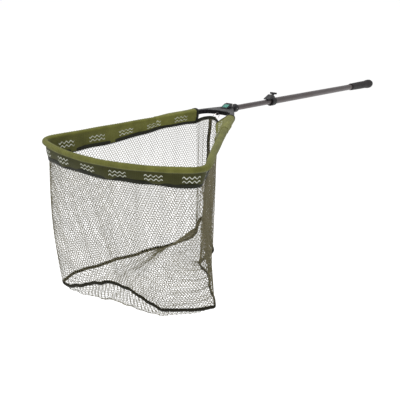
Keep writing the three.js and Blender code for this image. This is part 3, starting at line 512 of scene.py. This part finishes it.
def sleeve_cloth(name, dark, light, waves=(), eyelets=(), shade=None, fading_painted_shade=None):
    """Knitted sleeve cloth. Across it, in metres: waves are the places of its prints, eyelets its meshed
    spans, and shade the span of the outer band, which is darkened partly for its darker mesh and partly as
    painted shade. The last argument is (low, high, from, to): painted shade on the span between low and high
    across it, strongest at one place along it and gone by the other."""
    look = Surface(name, 0.85, specular=0.15, sheen=0.08)
    along, across = look.cloth_axes()
    knit = look.math("MULTIPLY", look.ridges(along, 0.0021), look.ridges(across, 0.0021))
    blotch = look.noise(38, 5)
    tone = look.math("ADD", look.math("MULTIPLY", knit, 0.55), look.math("MULTIPLY", blotch, 0.5))
    color = look.ramp(tone, (0.15, dark), (0.8, light))
    holes = look.math("MULTIPLY", look.ridges(along, 0.0046), look.ridges(across, 0.0040))
    for low, high in eyelets:
        pale = look.math("MULTIPLY", look.between(holes, 0.62, 0.85), inside_span(look, across, low, high))
        color = look.mix(look.math("MULTIPLY", pale, 0.3), color, srgb(150, 152, 118))
    # Painted shade, in part: the outer band is darkened for its darker mesh and also as shade on the face
    # that hangs below the roll
    if shade:
        color = look.mix(
            look.math("MULTIPLY", inside_span(look, across, *shade, 0.003), 0.72), color, srgb(24, 24, 11)
        )
    # Painted shade: the inner span darkens near the far corner and fades out along the far arm
    if fading_painted_shade:
        low, high, start, end = fading_painted_shade
        painted_shade_share = look.math(
            "MULTIPLY",
            inside_span(look, across, low, high, 0.006),
            look.between(along, start, end, 0.55, 0),
        )
        color = look.mix(painted_shade_share, color, srgb(38, 38, 20))
    if waves:
        color = look.mix(wave_print(look, along, across, waves), color, srgb(205, 208, 196))
    look.color(color)
    look.bump(knit, 0.5, 0.0005)
    look.bump(blotch, 0.25, 0.002)
    return look.material


def tape_cloth(name, dark, light):
    look = Surface(name, 0.88, specular=0.15, sheen=0.1)
    along, across = look.cloth_axes()
    ribs = look.ridges(along, 0.0016)
    threads = look.ridges(across, 0.0011)
    patches = look.noise(45, 4)
    tone = look.math("MULTIPLY_ADD", ribs, 0.35, look.math("MULTIPLY", patches, 0.7))
    look.color(look.ramp(tone, (0.2, dark), (0.85, light)))
    look.bump(look.math("MULTIPLY", ribs, threads), 0.55, 0.0005)
    return look.material


def strand(name):
    look = Surface(name, 0.6, specular=0.35)
    patches = look.noise(20, 4)
    beads = look.noise(900, 2)
    look.color(look.ramp(patches, (0.3, srgb(88, 83, 58)), (0.7, srgb(118, 111, 84))))
    look.bump(beads, 0.2, 0.0002)
    return look.material


LOOKS = {
    "plastic": moulded_plastic("moulded_black", srgb(10, 9, 12), srgb(24, 22, 27), 0.52),
    "teal": moulded_plastic("moulded_teal", srgb(52, 122, 108), srgb(66, 136, 122), 0.42),
    "nylon": moulded_plastic("natural_nylon", srgb(206, 200, 184), srgb(224, 219, 206), 0.5),
    "tube": anodised("anodised_tube"),
    "rubber": grip_rubber("grip_rubber"),
    "steel": metal("steel", srgb(150, 148, 145), srgb(190, 188, 184), 0.32),
    "ring": metal("ring_steel", srgb(196, 186, 182), srgb(226, 220, 216), 0.22),
    "rod": metal("rod_aluminium", srgb(176, 178, 180), srgb(204, 205, 207), 0.36),
    "tape": tape_cloth("seam_tape", srgb(12, 11, 5), srgb(38, 36, 20)),
    "binding": tape_cloth("edge_binding", srgb(17, 18, 11), srgb(46, 48, 36)),
    "strand": strand("net_strand"),
}


# ---------------------------------------------------------------- hardware

BEVEL_ANGLE, SPLIT_ANGLE = 35, 40


def dress(node, look, bevel):
    """A CAD node keeps its shape, and gets softened edges and its material."""
    obj = frame["nodes"][node]
    obj.data.materials.clear()
    obj.data.materials.append(LOOKS[look])
    if bevel:
        edge = obj.modifiers.new("soft_edges", "BEVEL")
        edge.width = bevel * MM
        edge.segments = 2
        edge.limit_method = "ANGLE"
        edge.angle_limit = math.radians(BEVEL_ANGLE)
    obj.data.polygons.foreach_set("use_smooth", [True] * len(obj.data.polygons))
    split = obj.modifiers.new("crisp_edges", "EDGE_SPLIT")
    split.split_angle = math.radians(SPLIT_ANGLE)


HARDWARE = {
    "outer_tube": ("tube", 0.2), "inner_tube": ("tube", 0.2), "butt_grip": ("rubber", 0.5),
    "butt_cap": ("rubber", 0.4), "clamp_body": ("plastic", 0.4), "clamp_lever": ("plastic", 0.4),
    "clamp_pin": ("steel", 0.2), "brake_shoe": ("nylon", 0.2), "inner_tube_plug": ("nylon", 0.2),
    "joint_socket": ("plastic", 0.35), "socket_pin": ("steel", 0.2), "yoke": ("plastic", 0.25),
    "hinge_pin": ("steel", 0.15), "hub_cover": ("plastic", 0.25), "release_button": ("teal", 0.3),
    "button_spring": ("steel", 0), "net_ring": ("ring", 0), "rim_rod": ("rod", 0),
    "rim_pin_right": ("steel", 0.15), "rim_pin_left": ("steel", 0.15),
    "cover_screw_1": ("steel", 0.15), "cover_screw_2": ("steel", 0.15), "cover_screw_3": ("steel", 0.15),
}


# ---------------------------------------------------------------- sleeve

def folded_strip(centreline, thickness):
    """Cloth folded along a centreline, as a closed outline. Its first half is the side that shows."""
    tangent = np.gradient(centreline, axis=0)
    tangent /= np.linalg.norm(tangent, axis=1, keepdims=True)
    side = np.stack((tangent[:, 1], -tangent[:, 0]), -1) * thickness / 2
    return np.concatenate((centreline + side, (centreline - side)[::-1]))


def straight(start, end, count):
    """Even points from start towards end, without end itself."""
    share = np.linspace(0, 1, count, endpoint=False)[:, None]
    return np.array(start) + (np.array(end) - np.array(start)) * share


def swept_cloth(name, distances, path_at, material):
    """Cloth swept along the rim, with its centreline at each place as [outward, up] in millimetres."""
    paths = [path_at(distance) for distance in distances]
    rings = [
        rim_frame(np.full(2 * len(path), distance), *folded_strip(path, CLOTH).T)
        for distance, path in zip(distances, paths)
    ]
    middle = paths[len(paths) // 2]
    around = curve_lengths(folded_strip(middle, CLOTH)) * MM
    obj = loft(name, head_points(np.array(rings)), material, np.asarray(distances) * MM, around)
    length = curve_lengths(rim_frame(distances, 0 * distances, 0))[-1] * MM
    return obj


# Points in each stretch of the sleeve's and the wide ends' centrelines
OUTER_RUN, ROLL_RUN, INNER_RUN = 8, 26, 10
END_OUTER_RUN, END_WALL_RUN, END_INNER_RUN = 8, 32, 11
ROLL_END = 0.86 * math.pi


def sleeve_path(distance):
    """Centreline of the sleeve at one place along the rim: foot, outer band, roll, inner face."""
    radius, drop, lean = roll_radius(distance), band_bottom(distance), band_lean(distance)
    foot = np.array((-lean, drop))
    neck = np.array((-radius * min(lean / 40, 0.8), -radius * 0.97))
    outer = straight(foot + (CLOTH * 0.6, 0), neck, OUTER_RUN)
    outer[:, 0] += 1.5 * np.sin(math.pi * np.linspace(0, 1, OUTER_RUN))
    turn = np.linspace(math.atan2(neck[1], neck[0]) + 0.12, ROLL_END, ROLL_RUN)
    roll = radius * np.stack((np.cos(turn), np.sin(turn)), -1)
    inner = straight(roll[-1], foot - (CLOTH * 0.6, 0), INNER_RUN)[1:]
    inner[:, 0] -= 1.2 * np.sin(math.pi * np.linspace(0, 1, INNER_RUN - 1))
    path = np.concatenate((outer, roll, inner, [foot - (CLOTH * 0.6, 0)]))
    depth = np.clip(-path[:, 1] - 8, 0, None) / 30
    path[:, 0] += depth * (1.5 * math.sin(distance / 21.0 + 0.6) + 0.8 * math.sin(distance / 8.7))
    rib = 0.4 * smooth(rim.arm - 80, rim.bend, distance) * math.sin(distance * 2 * math.pi / 7.1)
    path[:, 0] += rib * np.clip(path[:, 0] / radius, 0, 1)
    path[:, 1] += rib * np.clip(path[:, 1] / radius, 0, 1)
    path[:, 0] += cloth_shift(distance)
    return path


def build_sleeve():
    distances = np.linspace(SLEEVE_END - 4, rim.total - SLEEVE_END + 4, 620)
    runs = curve_lengths(sleeve_path(rim.half)) * MM
    outer_end, inner_start, inner_end = runs[OUTER_RUN], runs[OUTER_RUN + ROLL_RUN], runs[-1]
    cloth = sleeve_cloth(
        "band_cloth", srgb(72, 73, 30), srgb(128, 129, 64),
        waves=(outer_end * 0.5, (inner_start + inner_end) / 2 + 0.002),
        eyelets=((0.001, outer_end), (inner_start + 0.004, inner_end - 0.002)),
        # The outer band's darkening is partly its darker mesh and partly painted shade
        shade=(-0.01, outer_end + 0.001),
        # Painted shade on the far arm's inner face, strongest near the far corner
        fading_painted_shade=(inner_start - 0.002, inner_end + 0.01, (rim.total - rim.arm - 60) * MM, (rim.total - 150) * MM),
    )
    sleeve = swept_cloth("rim_sleeve_cloth", distances, sleeve_path, cloth)
    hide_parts("rim_sleeve")
    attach(sleeve, "head")


def end_path(distance, side):
    """Centreline of the wide sleeve end at one place along the rim: foot, round the arm, and foot."""
    run = distance if side > 0 else rim.total - distance
    taper = smooth(66, SLEEVE_END + 2, run)
    flare = 1 - smooth(-SLEEVE_BACK, 14, run)
    radius = roll_radius(distance) + CLOTH * 0.9
    wide = (11.2 + 1.4 * flare) * (1 - taper) + radius * taper
    high = (9.4 + 1.0 * flare) * (1 - taper) + radius * taper
    drop, lean = band_bottom(distance), band_lean(distance)
    foot = np.array((-lean, drop + 0.4))
    turn = np.linspace(-math.pi / 2 - 0.35 * min(lean / 40, 0.8), ROLL_END, END_WALL_RUN)
    power = 0.8 + 0.2 * taper
    wall = np.stack((
        wide * np.sign(np.cos(turn)) * np.abs(np.cos(turn)) ** power,
        high * np.sign(np.sin(turn)) * np.abs(np.sin(turn)) ** power,
    ), -1)
    crease = 0.5 * math.sin(distance / 9.0) + 0.4 * math.sin(distance / 4.3)
    wall[:, 0] += crease * np.exp(-((wall[:, 1] + 5) / 6) ** 2)
    outer = straight(foot + (CLOTH * 1.2, 0), wall[0], END_OUTER_RUN)
    inner = straight(wall[-1], foot - (CLOTH * 1.2, 0), END_INNER_RUN)[1:]
    inner[:, 0] -= 1.4 * np.sin(math.pi * np.linspace(0, 1, END_INNER_RUN - 1))
    path = np.concatenate((outer, wall, inner, [foot - (CLOTH * 1.2, 0)]))
    path[:, 0] += cloth_shift(distance)
    return path


def build_sleeve_end(name, side, back):
    """A wider end over one of the yoke's arms. It starts back behind the straight arm."""
    runs = curve_lengths(end_path(40 if side > 0 else rim.total - 40, side)) * MM
    wall_end = runs[END_OUTER_RUN + END_WALL_RUN - 1]
    cloth = sleeve_cloth(
        f"{name}_cloth", srgb(80, 81, 36), srgb(136, 137, 70), waves=((wall_end + runs[-1]) / 2,)
    )
    places = np.linspace(-back, SLEEVE_END + 6, 90)
    if side < 0:
        places = rim.total - places[::-1]
    piece = swept_cloth(f"{name}_cloth", places, lambda distance: end_path(distance, side), cloth)
    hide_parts(name)
    mouth = 2 - back if side > 0 else rim.total + back - 2
    path = end_path(mouth, side)
    edge = rim_frame(np.full(len(path), mouth), path[:, 0], path[:, 1])
    direction = rim.at(mouth + 1) - rim.at(mouth - 1)
    trim = ribbon(
        f"{name}_trim", edge, (direction[0], direction[1], 0), TRIM_WIDTH, TRIM_THICKNESS,
        LOOKS["binding"], crown=0.25,
    )
    for obj in (piece, trim):
        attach(obj, "head")


# ---------------------------------------------------------------- bag

NEAR_CORNER = (rim.arm + rim.bend) / 2
BACK_EDGE = [(85, -56, -26), (93, -30, -13), (99, -2, -5), (101, 14, -7), (104, 24, -13)]
FLOOR_NEAR = [(154, 32, -352), (166, 47, -366), (206, 50, -372), (262, 60, -366), (314, 116, -360),
              (380, 165, -362), (440, 212, -362), (456, 224, -370)]
FLOOR_FRONT = [(456, 224, -370), (492, 180, -374), (513, 120, -381), (519, 75, -374), (521, 45, -358),
               (522, 5, -345), (525, -50, -344), (527, -120, -366), (526, -170, -384), (518, -203, -382)]
FLOOR_FAR = [(518, -203, -382), (480, -184, -367), (394, -140, -357), (277, -90, -355), (175, -42, -354),
             (146, -22, -340)]
FLOOR_BACK = [(146, -22, -340), (143, -12, -306), (143, -2, -286), (147, 10, -310), (154, 32, -352)]


def band_foot(distance):
    """The band's lower edge, which the netting hangs from."""
    return rim_frame(distance, -band_lean(distance), band_bottom(distance))


def sample(curve, share):
    """Points on a curve, at shares of its length."""
    places = curve_lengths(curve)
    wanted = np.asarray(share) * places[-1]
    return np.stack([np.interp(wanted, places, curve[:, axis]) for axis in range(3)], -1)


def mouth_edge(panel, share):
    """The top edge of a wall panel, with share running from 0 to 1 along it."""
    if panel == "back":
        curve = through(BACK_EDGE, 200)
    else:
        ends = {
            "near": (-SLEEVE_BACK, NEAR_CORNER),
            "front": (NEAR_CORNER, rim.total - NEAR_CORNER),
            "far": (rim.total - NEAR_CORNER, rim.total + SLEEVE_BACK),
        }[panel]
        curve = band_foot(np.linspace(*ends, 400))
    return sample(curve, share)


SEAMS = {
    "near": through(FLOOR_NEAR, 300),
    "front": through(FLOOR_FRONT, 300),
    "far": through(FLOOR_FAR, 300),
    "back": through(FLOOR_BACK, 120),
}


def wobble(points, size):
    """Small soft waves, the same at the same place."""
    x, y, z = np.moveaxis(points, -1, 0)
    return size * np.stack((
        np.sin(y / 13.0 + z / 19.0) + 0.5 * np.sin(z / 7.0 + 2),
        np.sin(x / 15.0 + z / 17.0 + 1) + 0.5 * np.sin(x / 6.1),
        0.7 * np.sin(x / 14.0 + y / 9.0) + 0.5 * np.sin(x / 6.7 + y / 5.3 + 2),
    ), -1)


for panel, seam in SEAMS.items():
    SEAMS[panel] = seam + wobble(seam, SEAM_WOBBLE)
FOLDS = {"near": (8, 6.5), "front": (2.2, 6), "far": (2.5, 5), "back": (3, 4)}
BULGE = {"near": -3, "front": 5, "far": 7, "back": 4}
OUT = {"near": (-0.38, 0.92, 0), "front": (1, 0, 0), "far": (-0.38, -0.92, 0), "back": (-1, 0, 0)}


def wall_surface(panel, share, down):
    """Points of a wall panel. share and down run from 0 to 1, along its top and down to the seam."""
    top, foot = mouth_edge(panel, share), sample(SEAMS[panel], share)
    points = top + (foot - top) * down[..., None]
    size, count = FOLDS[panel]
    middle = np.sin(math.pi * share) ** 0.5 * np.sin(math.pi * np.clip(down, 0, 1)) ** 0.8
    fold = size * np.sin(2 * math.pi * count * share + 1.5 * down) * middle
    fold += 0.5 * size * np.sin(2 * math.pi * (2.3 * count * share + 0.8 * down)) * middle
    push = fold + BULGE[panel] * np.sin(math.pi * down) * np.sin(math.pi * share) ** 0.3
    points = points + np.array(OUT[panel]) * push[..., None]
    reach = 10 * smooth(60, 190, -points[..., 1]) * np.sin(math.pi * down)
    return points + np.array((0.45, -0.9, 0)) * reach[..., None]


def floor_surface(across, forward):
    """Points of the floor: across from its far edge to its near one, forward from back to front."""
    far, near = sample(SEAMS["far"][::-1], forward), sample(SEAMS["near"], forward)
    front, back = sample(SEAMS["front"][::-1], across), sample(SEAMS["back"], across)
    a, f = across[..., None], forward[..., None]
    corners = (
        SEAMS["far"][-1] * (1 - a) * (1 - f) + SEAMS["near"][0] * a * (1 - f)
        + SEAMS["far"][0] * (1 - a) * f + SEAMS["near"][-1] * a * f
    )
    points = far * (1 - a) + near * a + back * (1 - f) + front * f - corners
    belly = np.sin(math.pi * across) ** 0.9 * forward**1.6 * (1 - forward) ** 0.22 * 1.75
    belly *= 1 - 0.55 * np.exp(-((across - 0.76) / 0.2) ** 2)
    points[..., 2] -= BELLY_DEPTH * belly + 6 * np.sin(math.pi * across) * np.sin(math.pi * forward)
    crease = np.sin(across * 19 + forward * 4) * np.sin(math.pi * across) * np.sin(math.pi * forward)
    points[..., 2] += 3 * crease
    return points


def net_edges(columns, rows):
    """A honeycomb over the unit square, as points (share, down) and pairs of their numbers."""
    count = 2 * columns + 1
    i, j = np.meshgrid(np.arange(count), np.arange(rows + 1), indexing="ij")
    zig = np.where((i + j) % 2 == 0, ZIGZAG, -ZIGZAG)
    points = np.stack((i / (2 * columns), np.clip((j + zig) / rows, 0, 1)), -1)
    number = i * (rows + 1) + j
    rung = np.stack((number[:-1], number[1:]), -1).reshape(-1, 2)
    lower = (i[:, :-1] + j[:, :-1]) % 2 == 0
    link = np.stack((number[:, :-1][lower], number[:, 1:][lower]), -1)
    return points.reshape(-1, 2), np.concatenate((rung, link))


def surface_area(surface):
    """Area of a panel's surface, in square metres."""
    share = np.linspace(0, 1, AREA_STEPS)
    across, down = np.meshgrid(share, share, indexing="ij")
    points = surface(across.ravel(), down.ravel()).reshape(AREA_STEPS, AREA_STEPS, 3) * MM
    diagonals = points[1:, 1:] - points[:-1, :-1], points[1:, :-1] - points[:-1, 1:]
    return float(np.linalg.norm(np.cross(*diagonals), axis=-1).sum() / 2)


def knit_net(name, surface, width, height, replaced=None):
    """A panel of netting, as three-sided strands along the edges of a honeycomb."""
    columns, rows = round(width / MESH_CELL), round(height / (ROW_SHARE * MESH_CELL))
    places, pairs = net_edges(columns, rows)
    points = surface(places[:, 0], places[:, 1])
    start, end = points[pairs[:, 0]], points[pairs[:, 1]]
    run = end - start
    length = np.linalg.norm(run, axis=1, keepdims=True)
    keep = length[:, 0] > SHORTEST_STRAND
    start, end, run, length = start[keep], end[keep], run[keep], length[keep]
    run /= length
    side = np.cross(run, np.array((0.35, 0.2, 0.91)))
    side /= np.linalg.norm(side, axis=1, keepdims=True) + 1e-9
    lift = np.cross(run, side)
    turn = np.array((0, 2, 4)) * math.pi / 3
    shell = side[:, None] * np.cos(turn)[:, None] + lift[:, None] * np.sin(turn)[:, None]
    overlap = run[:, None] * STRAND_R * STRAND_OVERLAP
    first = start[:, None] - overlap + STRAND_R * shell
    last = end[:, None] + overlap + STRAND_R * shell
    vertices = np.concatenate((first, last), 1).reshape(-1, 3)
    base = np.arange(len(start))[:, None, None] * 6
    pattern = np.array(((0, 1, 4, 3), (1, 2, 5, 4), (2, 0, 3, 5)))
    faces = (base + pattern).reshape(-1, 4)
    net = make_object(name, head_points(vertices), faces.tolist(), LOOKS["strand"])
    area = surface_area(surface)
    if replaced:
        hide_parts(*replaced)
    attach(net, "head")


def build_bag():
    for panel, seam in SEAMS.items():
        top = curve_lengths(mouth_edge(panel, np.linspace(0, 1, 200)))[-1]
        width = (top + curve_lengths(seam)[-1]) / 2
        height = float(np.linalg.norm(mouth_edge(panel, 0.5) - sample(seam, 0.5)))
        knit_net(
            f"net_{panel}",
            lambda share, down, panel=panel: wall_surface(panel, share, down),
            width, height, ("net_wall",) if panel == "front" else None,
        )
    knit_net(
        "net_floor_mesh", floor_surface, FLOOR_NET_WIDTH, FLOOR_NET_LENGTH, ("net_floor",)
    )


def build_tapes():
    seam = np.concatenate([SEAMS[panel][:-1] for panel in ("near", "front", "far", "back")])
    seam = through(seam[::6], 420, closed=True)
    across = np.tile((0.2, 0.1, 1.0), (len(seam), 1))
    floor_tape = ribbon(
        "floor_seam", seam, across, TAPE_WIDTH, FLOOR_TAPE_THICKNESS, LOOKS["tape"], True, crown=0.75
    )
    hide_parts("floor_seam_tape")

    down = np.linspace(0.0, 1, 60)
    line = wall_surface("back", 0.66 - 0.16 * down, down)
    line = line + np.stack((np.full(60, -1.4), 1.2 * np.sin(down * 23), np.zeros(60)), -1)
    back_tape = ribbon("back_seam", line, (0, 1, 0), TAPE_WIDTH, TAPE_THICKNESS, LOOKS["tape"])
    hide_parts("back_seam_tape")

    edge = through(BACK_EDGE, 90)
    back_binding = ribbon(
        "back_binding", edge, (0.25, 0, 1), BACK_BINDING_WIDTH, BACK_BINDING_THICKNESS,
        LOOKS["binding"], crown=0.3,
    )
    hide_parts("back_edge_binding")

    distances = np.linspace(-SLEEVE_BACK, rim.total + SLEEVE_BACK, 560)
    radius, lean, drop = roll_radius(distances), band_lean(distances), band_bottom(distances)
    hang = rim_frame(distances, -lean, drop) - rim_frame(distances, -0.8 * radius, 0.2 * radius)
    hang /= np.linalg.norm(hang, axis=1, keepdims=True)
    foot = band_foot(distances) - hang * BINDING_HEIGHT * 0.2
    band_binding = ribbon(
        "band_binding", foot, hang, BINDING_HEIGHT, BAND_BINDING_THICKNESS, LOOKS["binding"], crown=0.1
    )
    for tape in (floor_tape, back_tape, back_binding, band_binding):
        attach(tape, "head")


def build_ring_tie():
    """Whipped cord that ties the ring to the back edge."""
    low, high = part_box("net_ring")
    far_side = (Vector((high.x, 0, low.z)) - HUB) / MM
    middle = np.array((far_side.x + 3.5, 0, far_side.z + 1.5))
    for k, shift in enumerate(TIE_PLACES):
        turn = np.linspace(0, 2 * math.pi, TIE_POINTS, endpoint=False)
        loop = np.stack((
            middle[0] + TIE_HALF_LENGTH * np.cos(turn),
            np.full(TIE_POINTS, shift) + TIE_HALF_WIDTH * np.sin(turn),
            middle[2] + TIE_HALF_HEIGHT * np.sin(turn),
        ), -1)
        tie = cable(f"ring_tie_{k + 1}", loop, TIE_CORD_R, LOOKS["tape"], closed=True)
        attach(tie, "head")


# ---------------------------------------------------------------- view and light

def build_view():
    camera_data = bpy.data.cameras.new("camera")
    camera_data.lens = CAMERA_LENS
    camera_data.sensor_width = 36
    camera_data.clip_end = 60
    camera = bpy.data.objects.new("camera", camera_data)
    bpy.context.scene.collection.objects.link(camera)
    azimuth, elevation = math.radians(CAMERA_AZIMUTH), math.radians(CAMERA_ELEVATION)
    back = Vector((
        math.sin(azimuth) * math.cos(elevation),
        -math.cos(azimuth) * math.cos(elevation),
        math.sin(elevation),
    ))
    right = Vector((math.cos(azimuth), math.sin(azimuth), 0))
    up = back.cross(right)
    turn = Matrix((right, up, back)).transposed().to_4x4()
    turn.translation = HUB + back * CAMERA_DISTANCE - right * CAMERA_ACROSS - up * CAMERA_DOWN
    camera.matrix_world = turn
    bpy.context.scene.camera = camera


def area_light(name, place, aim, size, power):
    data = bpy.data.lights.new(name, "AREA")
    data.energy = power
    data.size = size
    light = bpy.data.objects.new(name, data)
    light.location = place
    light.rotation_euler = (Vector(aim) - Vector(place)).to_track_quat("-Z", "Y").to_euler()
    bpy.context.scene.collection.objects.link(light)


# Each light's place from the middle of the net, its size in metres and its power in watts
LIGHTS = {
    "key": ((1.2, -0.6, 2.6), 1.6, 38),
    "fill": ((2.4, 2.6, 1.2), 2.4, 14),
    "rim": ((-2.2, -1.6, 1.6), 1.8, 14),
}
FLOOR_DROP, FLOOR_REACH = 0.9, 30
FLOOR_GLOW, SKY_STRENGTH = 0.28, 0.78


def build_studio():
    low, high = cad_box
    middle = (Vector(low) + Vector(high)) / 2
    floor = make_object(
        "studio_floor",
        [
            (x * FLOOR_REACH, y * FLOOR_REACH, low[2] - FLOOR_DROP)
            for x, y in ((-1, -1), (1, -1), (1, 1), (-1, 1))
        ],
        [(0, 1, 2, 3)],
        Surface("pale_floor", 0.95, specular=0.0).material,
    )
    shader = floor.data.materials[0].node_tree.nodes["Principled BSDF"]
    shader.inputs["Base Color"].default_value = (0.93, 0.93, 0.93, 1)
    shader.inputs["Emission Color"].default_value = (1, 1, 1, 1)
    shader.inputs["Emission Strength"].default_value = FLOOR_GLOW
    for name, (offset, size, power) in LIGHTS.items():
        area_light(name, middle + Vector(offset), middle, size, power)
    world = bpy.data.worlds.new("soft_white")
    world.use_nodes = True
    world.node_tree.nodes["Background"].inputs[0].default_value = (1, 1, 1, 1)
    world.node_tree.nodes["Background"].inputs[1].default_value = SKY_STRENGTH
    bpy.context.scene.world = world
    bpy.context.scene.view_settings.view_transform = "Standard"


build_view()
build_studio()
for node, (look, bevel) in HARDWARE.items():
    dress(node, look, bevel)
build_sleeve()
build_sleeve_end("sleeve_end_right", 1, 8)
build_sleeve_end("sleeve_end_left", -1, SLEEVE_BACK)
build_bag()
build_tapes()
build_ring_tie()
